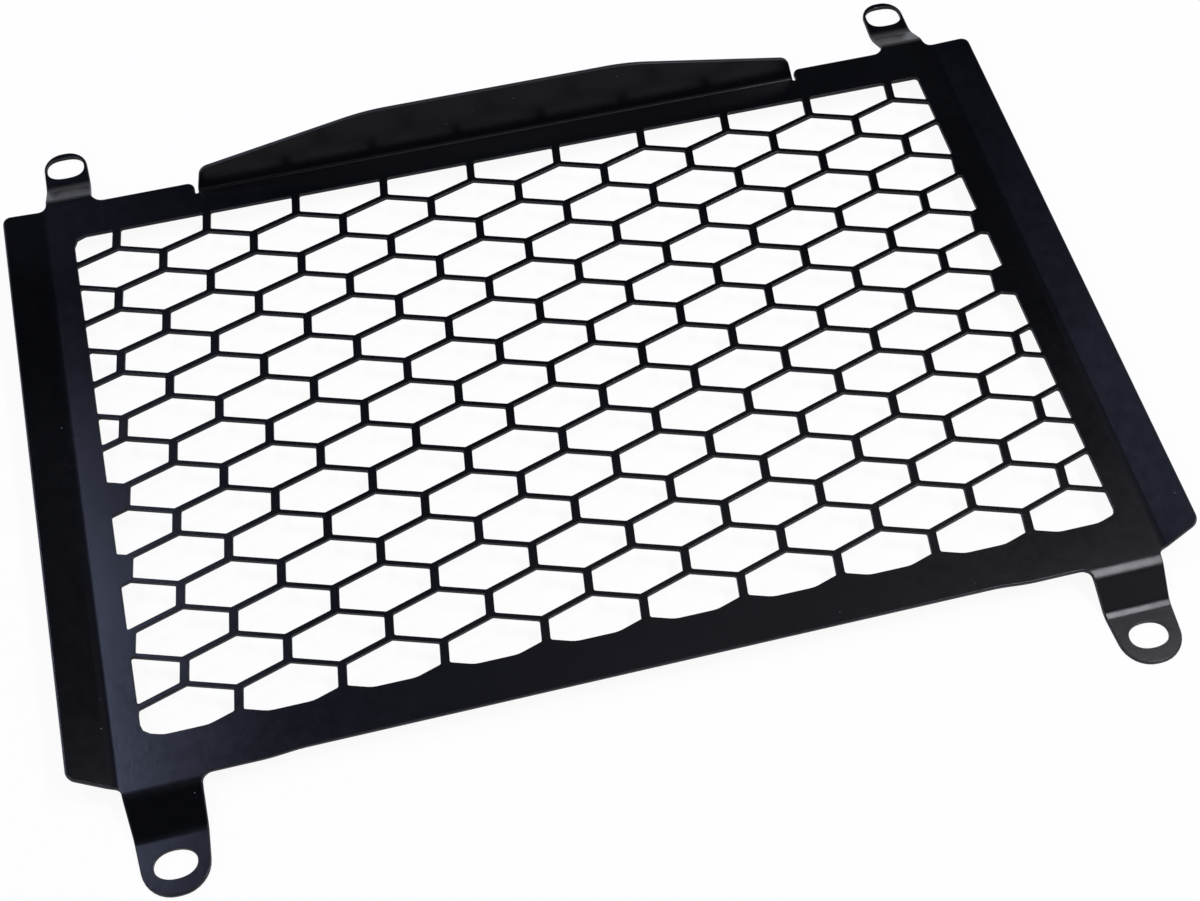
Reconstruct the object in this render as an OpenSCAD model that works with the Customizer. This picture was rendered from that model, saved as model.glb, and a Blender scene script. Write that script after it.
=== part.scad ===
// Motorcycle radiator guard: one laser-cut aluminium sheet with a honeycomb window, two side
// wings and a top flange folded up, and four slotted fixing lugs stepped down behind the face.
// X runs across the guard, Y up the guard, Z out of its front face. The origin lies under the
// middle of the outline, on the plane of the four lug seats.

/* [Sheet] */
// Thickness of the sheet
sheet_t = 1.5; // [1:0.1:3]

/* [Face] */
// Width of the face between the two wing folds
face_w = 314; // [300:1:360]
// Height of the face between its top and bottom edges
face_h = 212.4; // [180:0.2:260]
// Depth of the shallow recess in the bottom edge
recess_d = 0.8; // [0.2:0.1:3]
// Radius of the shoulder corners beside the flange and the recess
shoulder_r = 3.5; // [0.5:0.5:3.5]

/* [Honeycomb] */
// Width of the plain border between the window and each wing fold
side_border = 9.3; // [5:0.1:30]
// Width of the plain border above the window
top_border = 13.8; // [12:0.1:30]
// Width of the plain border below the window
bottom_border = 14.1; // [12:0.1:30]
// Corner radius of the window at the top left
window_r_top_left = 4; // [0.5:0.5:8]
// Corner radius of the window at the top right
window_r_top_right = 1; // [0.5:0.5:8]
// Corner radius of the window at the bottom right
window_r_bottom_right = 2.5; // [0.5:0.5:8]
// Corner radius of the window at the bottom left
window_r_bottom_left = 6; // [0.5:0.5:8]
// Distance between cell centres along a row
cell_pitch = 30; // [20:0.5:40]
// Distance between rows
row_pitch = 12.5; // [10:0.25:20]
// Length of a cell's upright side, between the middles of the webs
cell_side = 7.65; // [4:0.05:9]
// Width of the upright webs
web_w = 2.2; // [1:0.1:4]
// Width of the slanting ribs
rib_w = 1.5; // [1:0.1:3]
// Lean of the cells, in degrees
cell_lean = 8; // [0:0.5:12]
// Sideways drift of each row beyond the half-pitch stagger
row_drift = 1.1; // [0:0.05:2]
// Depth of the first row of cell centres below the window's top edge
first_row_y = 3.7; // [1:0.1:6]
// Distance of the middle cell of the first row from the centre line
first_cell_x = 1.1; // [-10:0.1:10]
// Narrowest part of a cell that is still cut at the window's sides
min_cell_w = 4.5; // [2:0.5:10]
// Lowest part of a cell that is still cut at the window's bottom
min_cell_h = 2; // [1:0.5:5]

/* [Side wings] */
// Width of each wing, from its fold to its outer edge
wing_w = 12.6; // [8:0.1:30]
// Angle that the wings are folded up by, in degrees
wing_angle = 21.5; // [5:0.5:60]
// Inside radius of the wing folds
wing_bend_r = 4; // [1:0.5:6]
// Length that each end of a wing tapers by at its outer edge
wing_taper = 4; // [0:0.1:10]
// Distance of the wings' bottom ends from the face's bottom edge
wing_inset = 1.2; // [0:0.1:5]
// Radius of the wings' outer corners
wing_corner_r = 3.5; // [0.5:0.5:3.5]

/* [Top flange] */
// Length of the flange along its fold
flange_l = 209.5; // [120:0.5:212]
// Height of the flange between its knees, from the fold
flange_h = 19.2; // [14:0.1:40]
// Height of the flange at its ends
flange_end_h = 8.6; // [6:0.1:12]
// Distance between the flange's knees
flange_knee_w = 91; // [40:1:100]
// Amount that each end edge leans in at its upper corner
flange_end_lean = 2; // [0:0.1:4]
// Angle that the flange is folded up by, in degrees
flange_angle = 80; // [45:1:90]
// Inside radius of the flange fold
flange_bend_r = 1; // [0.5:0.5:2]
// Distance of the flange fold from the face's top edge
flange_inset = 3.9; // [3:0.1:6]
// Radius of the flange's end corners
flange_corner_r = 4; // [1:0.5:4]
// Radius of the flange's knees
flange_knee_r = 80; // [10:5:100]
// Width of the relief cuts at the flange's ends
relief_w = 1.5; // [1:0.1:3]

/* [Fixing lugs] */
// Distance of the slot centres from the face's top and bottom edges
lug_reach = 22.2; // [20:0.1:40]
// Depth that the lugs step down behind the face
lug_drop = 6; // [3:0.1:12]
// Distance of the first lug bend from the edge of the face
lug_bend_y = 2.2; // [1.5:0.1:3]
// Length of the step, along the guard
lug_step_l = 10.5; // [8:0.5:16]
// Inside radius of the lug bends
lug_bend_r = 4; // [1:0.5:5]
// Distance of the top slot centres from the wing folds
top_lug_inset = 9; // [9:0.5:30]
// Width of the top lugs
top_lug_w = 14.2; // [13:0.1:14.4]
// Distance from the top slot centres to the lugs' tips
top_lug_tip = 6.6; // [6:0.1:7]
// Distance of the bottom slot centres from the wing folds
bottom_lug_inset = 13; // [13:0.5:30]
// Width of the bottom lugs at their slots
bottom_lug_w = 18.2; // [15:0.1:20]
// Width of the bottom lugs at the face
bottom_lug_root_w = 22.8; // [20:0.1:23]
// Radius of the inner fillets where the lugs leave the face
lug_fillet_r = 3; // [0.5:0.5:4]
// Radius of the outer fillets between the lugs and the wings
wing_fillet_r = 0.6; // [0.2:0.1:1]

/* [Slots] */
// Length of the slots, across the guard
slot_l = 12.6; // [10:0.1:13]
// Width of the slots
slot_w = 9.2; // [6:0.1:9.6]

/* [Finish] */
// Colour of the powder coat
coat_colour = "#16181d"; // [#16181d, #2a2d33, #0b0b0d]

/* [Hidden] */

// Full circles are drawn with this many sides
$fn = 96;
// Longest step along a rounded corner of an outline, in degrees
arc_step = 6;
// Length by which a folded strip runs back into the flat face
lap = 6;
// Length by which a cutting shape stands clear of what it cuts
clear = 5;

// Heights of the flat face's two sides above the lug seats
face_bottom = lug_drop;
face_top = face_bottom + sheet_t;

// Distance of the middle of the face from the middle of the whole outline
slot_y = face_h / 2 + lug_reach;
top_reach = slot_y + top_lug_tip;
bottom_reach = slot_y + bottom_lug_w / 2;
face_y = (bottom_reach - top_reach) / 2;

fold_x = face_w / 2;
taper_x = 2 * wing_bend_r * tan(wing_angle / 2);
edge_y = face_h / 2;
flange_y = edge_y - flange_inset;
relief_y = flange_y - flange_bend_r * tan(flange_angle / 2);
relief_x = flange_l / 2 + relief_w;

top_slot_x = fold_x - top_lug_inset;
bottom_slot_x = fold_x - bottom_lug_inset;
step_angle = atan(lug_drop / lug_step_l);

window_w = face_w - 2 * side_border;
window_top = edge_y - top_border;
window_bottom = bottom_border - edge_y;

// A cell's corners lie half-way between the middles of its webs and ribs
apex_y = row_pitch - cell_side / 2;
rib_slope = (apex_y - cell_side / 2) / (cell_pitch / 2);
rib_gap = rib_w * sqrt(1 + rib_slope * rib_slope);
cell_half_w = (cell_pitch - web_w) / 2;
cell_apex = apex_y - rib_gap / 2;
cell_corner = cell_apex - rib_slope * cell_half_w;
first_row = window_top - first_row_y;
row_count = floor((first_row + cell_apex - min_cell_h - window_bottom) / row_pitch) + 1;
cells_each_side = ceil((window_w / 2 + row_count * row_drift) / cell_pitch) + 1;

// A unit vector along v
function unit(v) = v / norm(v);

// The vector v turned by a degrees
function turned(v, a) = [v.x * cos(a) - v.y * sin(a), v.x * sin(a) + v.y * cos(a)];

// The corner at c, between its neighbours p and n, rounded by radius r
function corner(p, c, n, r) =
    let (
        back = unit(p - c),
        on = unit(n - c),
        half = acos(back * on) / 2,
        centre = c + unit(back + on) * r / sin(half),
        start = c + back * r / tan(half) - centre,
        sweep = (180 - 2 * half) * sign(cross(on, back)),
        steps = ceil(abs(sweep) / arc_step)
    )
    [for (i = [0:steps]) centre + turned(start, sweep * i / steps)];

// An outline of [x, y, radius] corners with each corner rounded, or left sharp at radius 0
function rounded(outline) =
    let (count = len(outline))
    [for (i = [0:count - 1])
        let (
            before = outline[(i + count - 1) % count],
            here = outline[i],
            after = outline[(i + 1) % count],
            point = [here[0], here[1]]
        )
        each here[2] == 0 ? [point]
            : corner([before[0], before[1]], point, [after[0], after[1]], here[2])];

// The outline's mirror image in the Y axis, in reverse order so that the two halves join up
function mirrored(outline) =
    [for (i = [len(outline) - 1:-1:0]) [-outline[i][0], outline[i][1], outline[i][2]]];

// Right half of the guard's outline without the flange, from the top middle to the bottom middle
half_outline = [
    [relief_x, relief_y, 0],
    [relief_x, edge_y, shoulder_r],
    [top_slot_x - top_lug_w / 2, edge_y, lug_fillet_r],
    [top_slot_x - top_lug_w / 2, slot_y + top_lug_tip, top_lug_tip],
    [top_slot_x + top_lug_w / 2, slot_y + top_lug_tip, top_lug_tip],
    [top_slot_x + top_lug_w / 2, edge_y, wing_fillet_r],
    [fold_x + wing_w + clear, edge_y, 0],
    [fold_x + wing_w + clear, wing_inset - edge_y, 0],
    [bottom_slot_x + bottom_lug_root_w / 2, wing_inset - edge_y, wing_fillet_r],
    [bottom_slot_x + bottom_lug_w / 2, -slot_y - bottom_lug_w / 2, bottom_lug_w / 2],
    [bottom_slot_x - bottom_lug_w / 2, -slot_y - bottom_lug_w / 2, bottom_lug_w / 2],
    [bottom_slot_x - bottom_lug_root_w / 2, -edge_y, lug_fillet_r],
    [relief_x + 2 * recess_d, -edge_y, shoulder_r],
    [relief_x - 2 * recess_d, recess_d - edge_y, shoulder_r]
];

// One honeycomb cell about the origin
module cell() {
    lean = tan(cell_lean);
    polygon([
        for (p = [
            [0, cell_apex], [cell_half_w, cell_corner], [cell_half_w, -cell_corner],
            [0, -cell_apex], [-cell_half_w, -cell_corner], [-cell_half_w, cell_corner]
        ]) [p.x + lean * p.y, p.y]
    ]);
}

// The window that the honeycomb fills
module window() {
    x = window_w / 2;
    polygon(rounded([
        [-x, window_top, window_r_top_left], [x, window_top, window_r_top_right],
        [x, window_bottom, window_r_bottom_right], [-x, window_bottom, window_r_bottom_left]
    ]));
}

// All cells, cut off at the window's edges
module honeycomb() {
    intersection() {
        window();
        union() {
            for (row = [0:row_count - 1]) {
                y = first_row - row * row_pitch;
                shift = first_cell_x - row * row_drift + (row % 2) * cell_pitch / 2;
                for (i = [-cells_each_side:cells_each_side]) {
                    x = shift + i * cell_pitch;
                    left = max(x - cell_half_w, -window_w / 2);
                    right = min(x + cell_half_w, window_w / 2);
                    if (right - left > min_cell_w) translate([x, y]) cell();
                }
            }
        }
    }
}

// The flat face before its outline is cut
module face_blank() {
    translate([lap / 2 - fold_x, -edge_y, face_bottom]) cube([face_w - lap, face_h, sheet_t]);
}

// Section of the sheet where it bends up about the origin, from level to the given angle
module bend(r, angle) {
    reach = 2 * (r + sheet_t);
    intersection() {
        difference() {
            circle(r + sheet_t);
            circle(r);
        }
        translate([0, -reach]) square(reach);
        rotate(angle) translate([-reach, -reach]) square(reach);
    }
}

// Section of a straight length of sheet, level, at distance r below the origin
module straight(from, to, r) {
    translate([from, -r - sheet_t]) square([to - from, sheet_t]);
}

// Section of a strip folded up: a flat lap, the bend, and a leg of the given length. The origin
// is where the upper surfaces of the lap and the leg would meet.
module fold_section(r, angle, leg) {
    setback = r * tan(angle / 2);
    translate([-setback, r]) {
        straight(-lap, 0, r);
        bend(r, angle);
        rotate(angle) straight(0, leg - setback, r);
    }
}

// Section of a lug: a flat lap, a bend down, the step, a bend back up to level, and the seat
module lug_section(reach) {
    r = lug_bend_r;
    half = tan(step_angle / 2);
    step = norm([lug_step_l, lug_drop]) - (2 * r + sheet_t) * half;
    translate([lug_bend_y - (r + sheet_t) * half, -sheet_t - r]) {
        mirror([0, 1]) {
            straight(-lap, 0, r);
            bend(r, step_angle);
        }
        rotate(-step_angle) {
            mirror([0, 1]) straight(0, step, r);
            translate([step, 2 * r + sheet_t]) {
                bend(r, step_angle);
                rotate(step_angle) straight(0, reach - lug_bend_y - lug_step_l, r);
            }
        }
    }
}

// One wing on the right side, tapered at both ends
module wing() {
    translate([fold_x, 0, face_top]) intersection() {
        rotate([90, 0, 0])
            linear_extrude(height = face_h, center = true)
                fold_section(wing_bend_r, wing_angle, wing_w + clear);
        rotate([0, -wing_angle, 0])
            linear_extrude(height = 4 * clear, center = true)
                polygon(rounded([
                    [wing_w, edge_y - wing_taper, wing_corner_r],
                    [taper_x, edge_y, 0], [taper_x, edge_y + clear, 0],
                    [-2 * lap, edge_y + clear, 0], [-2 * lap, -edge_y - clear, 0],
                    [taper_x, -edge_y - clear, 0], [taper_x, wing_inset - edge_y, 0],
                    [wing_w, wing_inset + wing_taper - edge_y, wing_corner_r]
                ]));
    }
}

// Blank of one lug on the right side, stepping down from the top edge beside the wing
module lug_blank(slot_x, w) {
    inner = w / 2 + clear;
    outer = w / 2 + wing_fillet_r;
    translate([slot_x - inner, edge_y, face_top])
        rotate([90, 0, 90])
            linear_extrude(height = inner + outer)
                lug_section(lug_reach + inner);
}

// The flange along the top edge
module flange() {
    x = flange_l / 2;
    translate([0, flange_y, face_top]) intersection() {
        rotate([90, 0, 90])
            linear_extrude(height = flange_l, center = true)
                fold_section(flange_bend_r, flange_angle, flange_h + clear);
        rotate([flange_angle, 0, 0])
            linear_extrude(height = 4 * clear, center = true)
                polygon(rounded([
                    [flange_knee_w / 2, flange_h, flange_knee_r],
                    [-flange_knee_w / 2, flange_h, flange_knee_r],
                    [flange_end_lean - x, flange_end_h, flange_corner_r],
                    [-x, 0, 0], [-x, -2 * lap, 0], [x, -2 * lap, 0], [x, 0, 0],
                    [x - flange_end_lean, flange_end_h, flange_corner_r]
                ]));
    }
}

// One fixing slot through the lug seats
module slot() {
    r = slot_w / 2;
    run = slot_l - slot_w;
    for (side = [-1, 1])
        translate([side * run / 2, 0, -clear]) cylinder(r = r, h = face_top + clear);
    translate([-run / 2, -r, -clear]) cube([run, slot_w, face_top + clear]);
}

// The whole guard, folded from one sheet
module guard() {
    color(coat_colour) translate([0, face_y, 0]) difference() {
        union() {
            intersection() {
                union() {
                    face_blank();
                    for (side = [0, 1]) mirror([side, 0, 0]) {
                        wing();
                        lug_blank(top_slot_x, top_lug_w);
                        mirror([0, 1, 0]) lug_blank(bottom_slot_x, bottom_lug_root_w);
                    }
                }
                translate([0, 0, -clear])
                    linear_extrude(height = face_top + wing_w + 2 * clear)
                        polygon(rounded(concat(half_outline, mirrored(half_outline))));
            }
            flange();
        }
        translate([0, 0, face_bottom - clear])
            linear_extrude(height = sheet_t + 2 * clear) honeycomb();
        for (side = [-1, 1]) {
            translate([side * top_slot_x, slot_y, 0]) slot();
            translate([side * bottom_slot_x, -slot_y, 0]) slot();
        }
    }
}

guard();
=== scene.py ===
import math
import bpy
import numpy as np
from mathutils import Matrix, Vector
from mathutils.geometry import delaunay_2d_cdt


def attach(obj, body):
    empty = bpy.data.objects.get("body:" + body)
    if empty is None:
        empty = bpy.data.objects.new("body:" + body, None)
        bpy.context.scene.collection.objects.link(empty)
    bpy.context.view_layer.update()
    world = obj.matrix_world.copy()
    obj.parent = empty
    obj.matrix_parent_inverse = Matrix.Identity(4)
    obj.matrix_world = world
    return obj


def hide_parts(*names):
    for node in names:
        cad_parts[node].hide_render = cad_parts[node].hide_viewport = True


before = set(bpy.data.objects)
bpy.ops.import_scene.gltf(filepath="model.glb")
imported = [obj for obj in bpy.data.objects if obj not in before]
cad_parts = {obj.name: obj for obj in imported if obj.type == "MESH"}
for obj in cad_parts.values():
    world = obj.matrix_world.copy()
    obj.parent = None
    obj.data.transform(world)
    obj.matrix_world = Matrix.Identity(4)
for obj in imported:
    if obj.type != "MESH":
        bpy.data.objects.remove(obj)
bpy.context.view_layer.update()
mm = 0.001
print("frame loaded")

# The photograph's view: a long lens, in front of the guard and a little to its left
view = {
    "target": (1.3, -29.39, 7.5),  # mm, where the middle of the picture meets the face
    "distance": 588.9,  # mm
    "azimuth": -14.62,  # degrees
    "elevation": 58.21,
    "roll": 0.48,
    "lens": 57.18,  # mm
    "sensor": 36,  # mm, width
    "nearest": 0.01,  # m
}


def setCamera(v):
    az, el = math.radians(v["azimuth"]), math.radians(v["elevation"])
    back = Vector((math.sin(az) * math.cos(el), -math.cos(az) * math.cos(el), math.sin(el)))
    right = Vector((math.cos(az), math.sin(az), 0))
    right = Matrix.Rotation(math.radians(v["roll"]), 3, back) @ right
    turn = Matrix((right, back.cross(right), back)).transposed().to_4x4()
    camera = bpy.data.objects.new("camera", bpy.data.cameras.new("camera"))
    camera.data.lens = v["lens"]
    camera.data.sensor_width = v["sensor"]
    camera.data.clip_start = v["nearest"]
    place = Vector(v["target"]) * mm + back * v["distance"] * mm
    camera.matrix_world = Matrix.Translation(place) @ turn
    bpy.context.scene.collection.objects.link(camera)
    bpy.context.scene.camera = camera
    print("camera set")


setCamera(view)

stage = {
    "flat": 1.1,  # m, radius of the flat floor
    "bend": 0.5,  # m, radius of the curve up to the rim
    "rise": 0.25,  # m, height of the wall above the curve
    "bendSteps": 12,
    "aroundSteps": 96,
    "white": 0.86,
    "seen": 0.93,  # share of its look that light and shadow don't change
    "mirrored": 0.4,  # the same in reflections
}


# Quads between neighbouring rings of points; every ring closes on itself
def ringFaces(rings, count):
    i = np.arange(rings - 1)[:, None] * count
    j = np.arange(count)[None, :]
    k = (j + 1) % count
    return np.stack([i + j, i + count + j, i + count + k, i + k], -1).reshape(-1, 4)


def addMesh(name, points, faces, material):
    mesh = bpy.data.meshes.new(name)
    mesh.from_pydata(points.tolist(), [], faces)
    mesh.shade_smooth()
    mesh.materials.append(material)
    piece = bpy.data.objects.new(name, mesh)
    bpy.context.scene.collection.objects.link(piece)
    return piece


# A shader node; its inputs are numbers, colours or the outputs of other nodes
def addNode(tree, kind, inputs, **settings):
    node = tree.nodes.new("ShaderNode" + kind)
    for name, value in settings.items():
        setattr(node, name, value)
    for key, value in inputs.items():
        if isinstance(value, bpy.types.NodeSocket):
            tree.links.new(value, node.inputs[key])
        else:
            node.inputs[key].default_value = value
    return node


def reckon(tree, operation, *values):
    return addNode(tree, "Math", dict(enumerate(values)), operation=operation).outputs[0]


# White paper: seen directly and in reflections a share of it stays white, and the rest is lit
# and shaded
def stageMaterial(s):
    material = bpy.data.materials.new("studio_white")
    material.use_nodes = True
    tree = material.node_tree
    tree.nodes.clear()
    path = addNode(tree, "LightPath", {}).outputs
    mirrored = reckon(tree, "MAXIMUM", path["Is Glossy Ray"], path["Is Transmission Ray"])
    mirrored = reckon(tree, "MULTIPLY", mirrored, s["mirrored"])
    share = reckon(tree, "MULTIPLY_ADD", path["Is Camera Ray"], s["seen"], mirrored)
    matte = addNode(tree, "BsdfDiffuse", {"Color": (s["white"], s["white"], s["white"], 1)})
    glow = addNode(tree, "Emission", {"Color": (1, 1, 1, 1), "Strength": 1})
    mix = addNode(tree, "MixShader", {0: share, 1: matte.outputs[0], 2: glow.outputs[0]})
    addNode(tree, "OutputMaterial", {"Surface": mix.outputs[0]})
    return material


# A bowl: the profile (radius, height) of floor, quarter circle and wall is carried round a circle
def makeStage(s):
    bend = np.linspace(0, math.pi / 2, s["bendSteps"] + 1)
    rim = s["flat"] + s["bend"]
    radius = np.concatenate([[s["flat"] / 2], s["flat"] + s["bend"] * np.sin(bend), [rim]])
    height = np.concatenate([[0], s["bend"] * (1 - np.cos(bend)), [s["bend"] + s["rise"]]])
    turn = np.linspace(0, 2 * math.pi, s["aroundSteps"], endpoint=False)
    points = np.stack([
        radius[:, None] * np.cos(turn), radius[:, None] * np.sin(turn), height[:, None] + 0 * turn
    ], -1).reshape(-1, 3)
    faces = [list(range(len(turn)))] + ringFaces(len(radius), len(turn)).tolist()
    addMesh("studio", points, faces, stageMaterial(s))
    print("stage made")


makeStage(stage)

# Place and size in m; every lamp looks at the guard
lamps = {
    "right_strip": {
        "place": (0.6, -0.07, 1.2), "size": (0.14, 0.62), "power": 11, "color": (0.92, 0.92, 1),
    },
    "left_window": {
        "place": (-0.52, 0.52, 1.2), "size": (0.12, 0.42), "power": 8.6, "color": (0.58, 0.64, 1),
    },
    "back_glow": {
        "place": (0.22, 0.45, 1.2), "size": (0.5, 0.3), "power": 0.3, "color": (0.8, 0.8, 1),
    },
    "crease_glint": {
        "place": (0.1, -0.1, 1.2), "size": (0.35, 0.1), "power": 1.1, "color": (1, 1, 1),
    },
    "right_fill": {
        "place": (0.95, -1.15, 1.2), "size": (0.7, 0.7), "power": 1.6, "color": (0.9, 0.9, 1),
    },
    "left_fill": {
        "place": (-1.3, -0.9, 0.9), "size": (1, 1), "power": 9, "color": (1, 1, 1),
    },
}
ambient = 0.012  # strength of the plain grey world


def setLights():
    for name, lamp in lamps.items():
        data = bpy.data.lights.new(name, "AREA")
        data.shape = "RECTANGLE"
        data.size, data.size_y = lamp["size"]
        data.energy = lamp["power"]
        data.color = lamp["color"]
        light = bpy.data.objects.new(name, data)
        away = Vector(lamp["place"]).normalized()
        across = Vector((0, 1, 0)).cross(away).normalized()
        turn = Matrix((across, away.cross(across), away)).transposed().to_4x4()
        light.matrix_world = Matrix.Translation(lamp["place"]) @ turn
        bpy.context.scene.collection.objects.link(light)
    world = bpy.data.worlds.new("studio_air")
    world.use_nodes = True
    air = world.node_tree.nodes["Background"].inputs["Color"]
    air.default_value = (ambient, ambient, ambient, 1)
    bpy.context.scene.world = world
    print("lamps set")


setLights()

# Sizes in mm, angles in degrees
plate = {
    "thickness": 1.5,
    "faceHeight": 6,
    "shiftY": 1.25,
    "width": 314,
    "height": 212.4,
    "recess": 0.8,  # depth of the shallow recess in the bottom edge
    "recessEnds": (-1.2, 7.8, 60),  # from and to, past the relief's outer side, and radius
    "shoulder": 4.2,  # radius of the face's corner beside the relief
    "borders": (9.3, 13.8, 14.1),  # side, top and bottom of the window
    "windowRound": ((4, 1), (6, 2.5)),  # left and right corner at the top, and at the bottom
    "windowCorner": 4,  # how far up the side a cell's corner counts as the window's
    "bottomRound": 9,  # corners of the cells that the window's lower edge cuts
    "pitch": (30, 12.5),
    "cellSide": 7.65,  # length of a cell's upright sides, between the webs' middles
    "web": 2.7,  # width of the upright webs
    "rib": 1.5,  # width of the slanting webs
    "lean": 8,
    "drift": 1.1,  # each row lies this much further to the left
    "firstCell": (1.1, 3.7),  # to the right of the middle, below the window's upper edge
    "leastCell": (4.5, 2),  # least width and height of a cut cell
    "cellRound": 0.6,
    "wing": 12.6,
    "wingAngle": 21.5,
    "wingBend": 8,
    "wingTaper": 4,
    "wingInset": 1.2,
    "wingRound": 3.5,
    "wingRoot": 0.5,  # how far the wing's slanting lower edge runs on, to the lug
    "flangeLength": 209.5,
    "flangeHeight": 19.2,
    "flangeEnds": (8.6, 2),  # height there, lean of the ends' sides
    "flangeTop": 91,  # length of the upper edge
    "flangeAngle": 80,
    "flangeBend": 1,
    "flangeInset": 3.9,
    "flangeRound": (80, 4, 0.5),  # upper edge, ends, feet
    "relief": (1.1, 0.1, 0.4),  # width, depth past the bend, corner radius
    "lugReach": 22.2,
    "lugDrop": 6,
    "topStep": (3.2, 10, 6.5, 10),  # start, length, radius of the bend down and of the one up
    "bottomStep": (2.7, 10.5, 9, 6.5),
    "topLug": (9, 14.2, 6.6),  # inset, width, radius of the tip's corners
    "topFlare": (1, 0.2),  # how much wider its root is, inwards and outwards
    "bottomLug": (13, 18.2, 22.8),  # inset, width, width of the root
    "lugFillet": (4, 3),  # at the roots' inner sides, top and bottom
    "wingFillet": (3.2, 2.4),  # at the roots' outer sides
    "topSlot": (12.5, 9.2, 2.6),  # length, width, fullness: 2 is an ellipse
    "bottomSlot": (12.3, 8.6, 2.15),
    "edgeRound": (0.4, 0.2),  # radius along the edges of the outline, and of the holes
    "edgeSteps": 4,  # in each quarter turn
    "cornerPoints": 9,
    "cellPoints": 3,
    "slotPoints": 48,
    "flangePoints": 12,
    "wingPoints": 8,
    "lugPoints": 8,
}
onEdge = 0.01  # mm, what lies nearer than this lies on the edge
samePlace = 0.001  # mm, points nearer than this become one
shortest = 0.05  # mm, side of a cut cell
beyond = 500  # mm, more than the sheet reaches past any fold


def unit(v):
    return v / np.linalg.norm(v, axis=-1, keepdims=True)


# Points of a loop that lie further than gap from the one before
def dropNear(loop, gap):
    return loop[np.linalg.norm(loop - np.roll(loop, 1, 0), axis=1) > gap]


# Every corner (x, y, radius) gives way to an arc that touches both of its sides, with its points
# evenly spaced
def roundCorners(corners, count):
    corners = np.asarray(corners, float)
    c, r = corners[:, :2], corners[:, 2]
    back, on = np.roll(c, 1, 0) - c, np.roll(c, -1, 0) - c
    room = np.minimum(np.linalg.norm(back, axis=1), np.linalg.norm(on, axis=1)) / 2
    back, on = unit(back), unit(on)
    half = np.arccos(np.clip(np.sum(back * on, 1), -1, 1)) / 2
    r = np.minimum(r, room * np.tan(half))
    centre = c + unit(back + on) * (r / np.sin(half))[:, None]
    start = c + back * (r / np.tan(half))[:, None] - centre
    sweep = (math.pi - 2 * half) * np.sign(on[:, 0] * back[:, 1] - on[:, 1] * back[:, 0])
    a = sweep[:, None] * np.linspace(0, 1, count)
    x = start[:, :1] * np.cos(a) - start[:, 1:] * np.sin(a)
    y = start[:, :1] * np.sin(a) + start[:, 1:] * np.cos(a)
    return dropNear((centre[:, None] + np.stack([x, y], -1)).reshape(-1, 2), samePlace)


# Where the sides of a loop cross the line on which d is nought: a flag and a point for every side
def crossings(loop, d):
    ahead, dAhead = np.roll(loop, -1, 0), np.roll(d, -1)
    crosses = (d > 0) != (dAhead > 0)
    share = np.where(crosses, d / np.where(crosses, d - dAhead, 1), 0)
    return crosses, loop + share[:, None] * (ahead - loop)


# The kept values of a loop and the marked ones of those that follow them, in their order round it
def weave(values, kept, extra, marked):
    pairs = np.stack([values, extra], 1).reshape(-1, *values.shape[1:])
    return pairs[np.stack([kept, marked], 1).ravel()]


# The part of a convex loop where normal . point is at most limit
def clipLoop(loop, normal, limit):
    d = loop @ np.array(normal) - limit
    crosses, extra = crossings(loop, d)
    return weave(loop, d <= 0, extra, crosses)


# The honeycomb's cells, cut off at the window's edges, as loops in the flat sheet. A cell is a
# hexagon with upright sides, less half a web's width on every side, and sheared to the right
def cellLoops(p):
    side, top, bottom = p["borders"]
    halfW, high, low = p["width"] / 2 - side, p["height"] / 2 - top, bottom - p["height"] / 2
    pitchX, pitchY = p["pitch"]
    apexY = pitchY - p["cellSide"] / 2
    slope = (apexY - p["cellSide"] / 2) / (pitchX / 2)
    half = (pitchX - p["web"]) / 2
    apex = apexY - p["rib"] * math.hypot(1, slope) / 2
    corner = apex - slope * half
    cell = np.array([
        [0, apex], [half, corner], [half, -corner], [0, -apex], [-half, -corner], [-half, corner]
    ])
    cell[:, 0] += math.tan(math.radians(p["lean"])) * cell[:, 1]
    firstX, firstY = p["firstCell"]
    leastW, leastH = p["leastCell"]
    rows = math.floor((high - firstY + apex - leastH - low) / pitchY) + 1
    columns = math.ceil(halfW / pitchX) + 3
    window = (((1, 0), halfW), ((-1, 0), halfW), ((0, 1), high), ((0, -1), -low))
    loops = []
    for row in range(rows):
        shift = firstX - row * p["drift"] + (row % 2) * pitchX / 2
        for i in range(-columns, columns + 1):
            middle = shift + i * pitchX
            if min(middle + half, halfW) - max(middle - half, -halfW) <= leastW:
                continue
            loop = cell + [middle, high - firstY - row * pitchY]
            for normal, limit in window:
                loop = clipLoop(loop, normal, limit)
            loop = dropNear(loop, shortest)
            x, y = loop.T
            atSide = np.abs(np.abs(x) - halfW) < onEdge
            topRound, lowRound = np.array(p["windowRound"])[:, (x > 0).astype(int)]
            radius = np.where(np.abs(y - low) < onEdge, p["bottomRound"], p["cellRound"])
            radius = np.where(atSide & (y > high - onEdge), topRound, radius)
            radius = np.where(atSide & (y < low + p["windowCorner"]), lowRound, radius)
            loops.append(roundCorners(np.column_stack([loop, radius]), p["cellPoints"]))
    return loops


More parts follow.
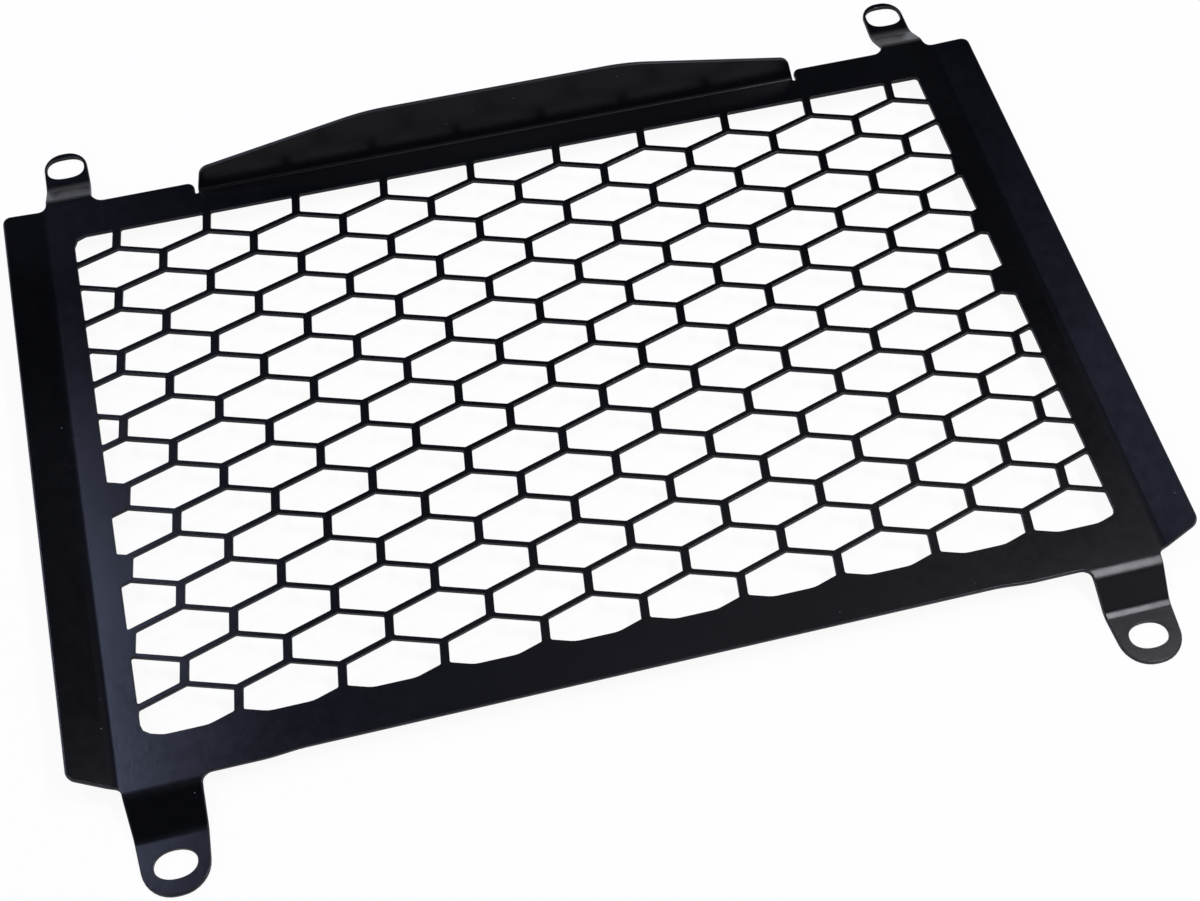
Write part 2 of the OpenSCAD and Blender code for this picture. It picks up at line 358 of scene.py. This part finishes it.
# The slots: an ellipse whose sine and cosine are raised to 2 / fullness, which squares it up
def slotLoops(p):
    slotY = p["height"] / 2 + p["lugReach"]
    turn = -np.linspace(0, 2 * math.pi, p["slotPoints"], endpoint=False)
    wave = np.stack([np.cos(turn), np.sin(turn)], 1)
    loops = []
    for slot, lug, y in (("topSlot", "topLug", slotY), ("bottomSlot", "bottomLug", -slotY)):
        length, width, fullness = p[slot]
        loop = np.sign(wave) * np.abs(wave) ** (2 / fullness) * [length / 2, width / 2]
        loops += [loop + [side * (p["width"] / 2 - p[lug][0]), y] for side in (1, -1)]
    return loops


# Distance from a fold's sharp corner to where its arc begins
def bendReach(radius, angle):
    return radius * math.tan(math.radians(angle) / 2)


# Outline of the flat sheet: wings and flange are unfolded, and lugs are as long as from above
def sheetOutline(p):
    foldX, edgeY = p["width"] / 2, p["height"] / 2
    flangeY = edgeY - p["flangeInset"]
    slotY = edgeY + p["lugReach"]
    length, high, upper = p["flangeLength"], p["flangeHeight"], p["flangeTop"]
    low, lean = p["flangeEnds"]
    gap, past, reliefRound = p["relief"]
    reliefX = length / 2 + gap
    reliefY = flangeY - bendReach(p["flangeBend"], p["flangeAngle"]) - past
    wingX = foldX + p["wing"]
    topX, topW, topTip = foldX - p["topLug"][0], p["topLug"][1] / 2, p["topLug"][2]
    lowX, lowW = foldX - p["bottomLug"][0], p["bottomLug"][1] / 2
    rootW = p["bottomLug"][2] / 2
    flareIn, flareOut = p["topFlare"]
    wingLow = p["wingInset"] - edgeY
    recessIn, recessOut, recessRound = p["recessEnds"]
    right = np.array([
        [upper / 2, flangeY + high, p["flangeRound"][0]],
        [length / 2 - lean, flangeY + low, p["flangeRound"][1]],
        [length / 2, flangeY, p["flangeRound"][2]],
        [length / 2, reliefY, reliefRound],
        [reliefX, reliefY, reliefRound],
        [reliefX, edgeY, p["shoulder"]],
        [topX - topW - flareIn, edgeY, p["lugFillet"][0]],
        [topX - topW, slotY + topTip, topTip],
        [topX + topW, slotY + topTip, topTip],
        [topX + topW + flareOut, edgeY, p["wingFillet"][0]],
        [wingX, edgeY - p["wingTaper"], p["wingRound"]],
        [wingX, wingLow + p["wingTaper"], p["wingRound"]],
        [lowX + rootW, wingLow - p["wingRoot"], p["wingFillet"][1]],
        [lowX + lowW, -slotY - lowW, lowW],
        [lowX - lowW, -slotY - lowW, lowW],
        [lowX - rootW, -edgeY, p["lugFillet"][1]],
        [reliefX + recessOut, -edgeY, recessRound],
        [reliefX + recessIn, p["recess"] - edgeY, recessRound],
    ])
    both = np.concatenate([right, right[::-1] * [-1, 1, 1]])
    return roundCorners(both, p["cornerPoints"])[::-1]


# A fold's section as a table of rows (flat distance, distance along, height, slope): level up to
# the bend, an arc of the given radius on the upper side, then straight on
def foldTable(radius, angle, count):
    reach = bendReach(radius, angle)
    a = np.linspace(0, math.radians(angle), count)
    flat = np.linspace(-reach, reach, count)
    bend = np.stack([flat, radius * np.sin(a) - reach, radius * (1 - np.cos(a)), a], 1)
    far = [beyond, beyond * math.cos(a[-1]), beyond * math.sin(a[-1]), a[-1]]
    return np.concatenate([[[-beyond, -beyond, 0, 0]], bend, [far]])


# A lug's section as such a table, where the flat distance is the distance along: level, an arc
# down, the slope, an arc back to level, and the seat
def lugTable(drop, step, count):
    begin, length, outer, inner = step
    slope = math.atan(drop / length)
    half = math.tan(slope / 2)
    start, end = begin - outer * half, begin + length + inner * half
    a = np.linspace(0, slope, count)
    down = np.stack([start + outer * np.sin(a), -outer * (1 - np.cos(a)), -a], 1)
    up = np.stack([end - inner * np.sin(a), inner * (1 - np.cos(a)) - drop, -a], 1)[::-1]
    rows = np.concatenate([[[-beyond, 0, 0]], down, up, [[beyond, -drop, 0]]])
    return rows[:, [0, 0, 1, 2]]


# Flange, top lugs, bottom lugs and wings: which flat points are in them, how far past the fold
# these lie, the axis that the fold turns away from, its sign, and the section
def foldZones(p, xy):
    x, y = xy[..., 0], xy[..., 1]
    foldX, edgeY = p["width"] / 2, p["height"] / 2
    flangeX = p["flangeLength"] / 2 + p["relief"][0] / 2
    middle, aside = np.abs(x) < flangeX, np.abs(x) > flangeX
    flange = foldTable(p["flangeBend"], p["flangeAngle"], p["flangePoints"])
    wing = foldTable(p["wingBend"], p["wingAngle"], p["wingPoints"])
    topLug, bottomLug = (
        lugTable(p["lugDrop"], p[step], p["lugPoints"]) for step in ("topStep", "bottomStep")
    )
    return [
        (middle & (y > 0), y - edgeY + p["flangeInset"], 1, np.sign(y), flange),
        (aside & (y > 0), y - edgeY, 1, np.sign(y), topLug),
        (aside & (y < 0), -y - edgeY, 1, np.sign(y), bottomLug),
        (aside, np.abs(x) - foldX, 0, np.sign(x), wing),
    ]


# Flat points (x, y) at depth below the upper side, and directions (turned by tilt from the sheet's
# normal towards side), folded into place: every zone keeps to its table's section
def foldSheet(p, xy, depth, side, tilt):
    place = np.column_stack([xy, np.zeros(len(xy))])
    along = np.zeros((len(xy), 2, 3))  # the sheet's own x and y directions
    along[:, 0, 0] = along[:, 1, 1] = 1
    normal = np.tile([0.0, 0, 1], (len(xy), 1))
    for inside, flat, axis, sign, table in foldZones(p, xy):
        inside = inside & (flat > table[1, 0])
        q, s = flat[inside], sign[inside]
        out, high, slope = (np.interp(q, table[:, 0], table[:, k]) for k in (1, 2, 3))
        place[inside, axis] += s * (out - q)
        place[inside, 2] = high
        along[inside, axis, axis] = np.cos(slope)
        along[inside, axis, 2] = s * np.sin(slope)
        normal[inside, axis] = -s * np.sin(slope)
        normal[inside, 2] = np.cos(slope)
    toSide = side[:, :1] * along[:, 0] + side[:, 1:] * along[:, 1]
    place = place - depth * normal + [0, p["shiftY"], p["faceHeight"] + p["thickness"]]
    return place * mm, math.cos(tilt) * normal + math.sin(tilt) * toSide


# The outline with extra points where it crosses the rows of the folds' tables, and tags: points
# with the same tag above nought are the two ends of a row. The flange's rows cross the middle,
# and those of lugs and wings lie on either side of it
def crossFolds(p, loop):
    tags = np.zeros(len(loop), int)
    tag = 0
    for number, zone in enumerate(foldZones(p, loop)):
        for level in zone[4][1:-1, 0]:
            tag += 2
            inside, flat = foldZones(p, loop)[number][:2]
            crosses, extra = crossings(loop, flat - level)
            crosses &= inside & np.roll(inside, -1)
            every = np.ones(len(loop), bool)
            tags = weave(tags, every, tag + (number > 0) * (extra[:, 0] > 0), crosses)
            loop = weave(loop, every, extra, crosses)
    return loop, tags


# Triangles between outline and holes, as the numbers of their points, and how many points the
# filling had to add. The folds' rows are edges in it, so that no triangle bridges a bend
def fillSheet(xy, ahead, owner, tags):
    edges = np.stack([np.arange(len(xy)), ahead], 1).tolist()
    edges += [np.flatnonzero(tags == tag).tolist() for tag in np.unique(tags[tags > 0])]
    insideOnly, tolerance = 1, 1e-6
    filled = delaunay_2d_cdt([Vector(v) for v in xy], edges, [], insideOnly, tolerance)
    source = np.array([ids[0] for ids in filled[3]])
    corners = source[np.array(filled[2])]
    hole = (owner[corners] == owner[corners][:, :1]).all(1) & (owner[corners[:, 0]] > 0)
    return corners[~hole], len(filled[0]) - len(xy)


# The sheet: both sides are filled between the loops, and rings of points round every cut edge
# carry one side over into the other
def makePlate(p, material):
    outer, tags = crossFolds(p, sheetOutline(p))
    cells = cellLoops(p)
    loops = [outer] + cells + slotLoops(p)
    sizes = np.array([len(loop) for loop in loops])
    first = np.repeat(np.cumsum(sizes) - sizes, sizes)
    count = int(sizes.sum())
    i = np.arange(count)
    size = np.repeat(sizes, sizes)
    ahead, behind = first + (i - first + 1) % size, first + (i - first - 1) % size
    xy = np.concatenate(loops)
    owner = np.repeat(np.arange(len(loops)), sizes)
    inCell = (owner > 0) & (owner <= len(cells))
    edgeRound = np.where(owner > 0, p["edgeRound"][1], p["edgeRound"][0])[:, None]

    # Away from the sheet, at right angles to the loop; mitre reaches as far as both sides need
    go, come = unit(xy[ahead] - xy), unit(xy - xy[behind])
    goOut, comeOut = (np.stack([v[:, 1], -v[:, 0]], 1) for v in (go, come))
    sideOut = unit(unit(goOut) + unit(comeOut))
    mitre = sideOut / np.sum(sideOut * goOut, 1)[:, None]

    # The edge's section is two quarter circles: the tilt goes from up, by the side, to down. The
    # marks for the coat are cut, which is 1 at the side, and rim, 1 halfway round each quarter,
    # where the painted highlight with wear goes
    quarter = np.linspace(0, math.pi / 2, p["edgeSteps"] + 1)
    points, normals, cut, rim = [], [], [], []
    for lower, tilts in ((False, quarter), (True, quarter + math.pi / 2)):
        for a in tilts:
            depth = edgeRound * (1 - math.cos(a))
            if lower:
                depth = p["thickness"] - edgeRound * (1 + math.cos(a))
            flat = xy - mitre * edgeRound * (1 - math.sin(a))
            place, normal = foldSheet(p, flat, depth, sideOut, a)
            points.append(place)
            normals.append(normal)
            cut.append(np.full(count, math.sin(a)))
            rim.append(np.where(inCell, 0, abs(math.sin(2 * a))))
    rings = len(points)

    corners, odd = fillSheet(xy - mitre * edgeRound, ahead, owner, tags)
    walls = np.stack([i, i + count, ahead + count, ahead], 1)
    walls = (walls[None] + np.arange(rings - 1)[:, None, None] * count).reshape(-1, 4)
    faces = corners.tolist() + (corners[:, ::-1] + (rings - 1) * count).tolist() + walls.tolist()
    piece = addMesh("sheet", np.concatenate(points), faces, material)
    piece.data.normals_split_custom_set_from_vertices(np.concatenate(normals).tolist())
    for name, values in (("cut", cut), ("rim", rim)):
        attribute = piece.data.attributes.new(name, "FLOAT", "POINT")
        attribute.data.foreach_set("value", np.concatenate(values))
    print("sheet:", len(loops) - 1, "holes,", count * rings, "points,", odd, "odd points")
    return piece


coat = {
    "color": (0.0016, 0.0018, 0.0026),
    "shade": (0.8, 1.25),  # the colour's brightness in dark and light clouds
    "thin": (0.009, 0.0095, 0.011),  # where the powder has drawn back from the cut edges
    "thinShare": (0.35, 1),  # least and most of it, by patches
    "rimWearAndSheen": (0.026, 0.027, 0.03),  # painted highlight along the rims of outline and slots, with wear from handling
    "rimWearAndSheenShare": (0.4, 1),  # least and most of it, by clouds
    "dust": (0.07, 0.07, 0.075),
    "specular": 0.2,
    "roughness": 0.24,
    "clouds": (16, 3, 0.05),  # per m, detail, change of roughness
    "patches": (260, 2, 0.035),
    "wide": (0.3, 0.7),  # the values of a noise between which a ramp runs
    "narrow": (0.35, 0.65),
    "edgeMatt": (0.6, 0.2),  # where on the rounded edge the duller coat begins, more roughness
    "dustMatt": 0.5,  # more roughness
    "peel": (850, 1, 0.000009),  # orange peel: waves per m, detail, depth in m
    "grain": (3200, 1, 0.0000022),
    "specks": (100, 0.03),  # per m, radius as a share of their spacing
}


# Satin powder coat: orange peel and a fine grain in the relief, clouds and patches in the gloss,
# a thinner, duller coat on the cut edges, a painted highlight with wear along the rims of outline
# and slots, and a few specks of dust
def coatMaterial(c):
    material = bpy.data.materials.new("powder_coat")
    material.use_nodes = True
    tree = material.node_tree
    shader = tree.nodes["Principled BSDF"]
    place = addNode(tree, "TexCoord", {}).outputs["Object"]

    def mark(name):
        return addNode(tree, "Attribute", {}, attribute_name=name).outputs["Fac"]

    def noise(name):
        inputs = {"Vector": place, "Scale": c[name][0], "Detail": c[name][1]}
        return addNode(tree, "TexNoise", inputs).outputs[0]

    def ramp(value, span, result):
        limits = {"Value": value, "From Min": span[0], "From Max": span[1]}
        limits |= {"To Min": result[0], "To Max": result[1]}
        return addNode(tree, "MapRange", limits).outputs[0]

    def around(value, middle, change):
        return ramp(value, c["wide"], (middle - change / 2, middle + change / 2))

    def blend(share, one, two, **settings):
        inputs = {0: share, 6: one, 7: two}
        return addNode(tree, "Mix", inputs, data_type="RGBA", **settings).outputs[2]

    def emboss(height, depth, inputs):
        return addNode(tree, "Bump", {"Height": height, "Distance": depth, **inputs}).outputs[0]

    cut, rim = mark("cut"), mark("rim")
    clouds, patches = noise("clouds"), noise("patches")

    shade = ramp(clouds, c["wide"], c["shade"])
    color = blend(1.0, (*c["color"], 1), shade, blend_type="MULTIPLY")
    thin = reckon(tree, "MULTIPLY", cut, ramp(patches, c["narrow"], c["thinShare"]))
    color = blend(thin, color, (*c["thin"], 1))
    # Painted highlight: a lighter colour along the rims of outline and slots, which also stands
    # for wear
    rimWearAndSheen = reckon(tree, "MULTIPLY", rim, ramp(clouds, c["narrow"], c["rimWearAndSheenShare"]))
    color = blend(rimWearAndSheen, color, (*c["rimWearAndSheen"], 1))
    spacing, speck = c["specks"]
    specks = addNode(tree, "TexVoronoi", {"Vector": place, "Scale": spacing}).outputs["Distance"]
    dust = ramp(specks, (speck, speck / 2), (0, 1))
    color = blend(dust, color, (*c["dust"], 1))
    tree.links.new(color, shader.inputs["Base Color"])

    rough = around(clouds, c["roughness"], c["clouds"][2])
    rough = reckon(tree, "ADD", rough, around(patches, 0, c["patches"][2]))
    rough = reckon(tree, "ADD", rough, ramp(cut, (c["edgeMatt"][0], 1), (0, c["edgeMatt"][1])))
    rough = reckon(tree, "ADD", rough, reckon(tree, "MULTIPLY", dust, c["dustMatt"]))
    tree.links.new(rough, shader.inputs["Roughness"])

    relief = emboss(noise("peel"), c["peel"][2], {})
    relief = emboss(noise("grain"), c["grain"][2], {"Normal": relief})
    tree.links.new(relief, shader.inputs["Normal"])
    shader.inputs["Specular IOR Level"].default_value = c["specular"]
    print("powder coat mixed")
    return material


sheet = makePlate(plate, coatMaterial(coat))
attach(sheet, "root")
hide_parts("guard")

bpy.context.scene.view_settings.view_transform = "Standard"
